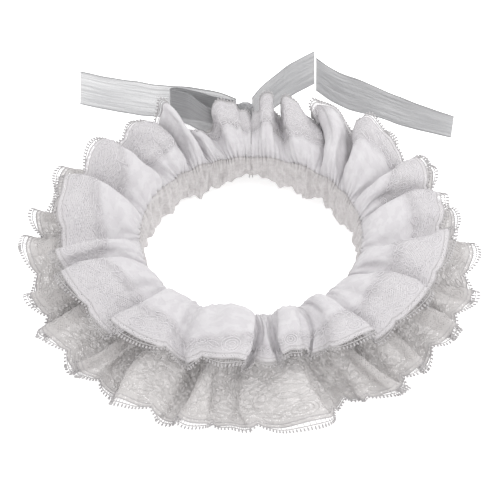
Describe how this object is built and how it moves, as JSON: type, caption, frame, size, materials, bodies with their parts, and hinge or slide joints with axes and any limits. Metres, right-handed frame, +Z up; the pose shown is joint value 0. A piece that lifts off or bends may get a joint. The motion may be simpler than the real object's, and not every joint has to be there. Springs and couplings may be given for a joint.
{
  "type": "ruffled lace collar",
  "caption": "Ring-shaped lace collar of two tiers of fluted frill on a gathered neck stand, laid on a surface, with organza ribbon ties knotted behind the open back.",
  "frame": {"origin": "on the surface that the collar lies on, at the middle of the whole, ties and all", "axes": "+Z up, -Y to the front of the collar, +Y to its open back where the ties lie, +X to the right as seen from the front"},
  "size_m": [0.2866, 0.32, 0.0533],
  "materials": {
    "upper_lace": "smooth white cloth with white lace over it, scalloped at the edge",
    "lower_lace": "sheer white lace on fine net, scalloped at the edge",
    "stand_cloth": "gathered white cloth with small puckers",
    "organza": "sheer pale grey organza ribbon with firm woven edges"
  },
  "bodies": {
    "root": {"upper_frill": "upper_lace", "lower_frill": "lower_lace", "neck_stand": "stand_cloth", "ribbon_root_left": "organza", "ribbon_root_right": "organza", "ribbon_knot": "organza", "ribbon_left": "organza", "ribbon_loop": "organza", "ribbon_right": "organza", "ribbon_right_end": "organza"}
  },
  "joints": []
}
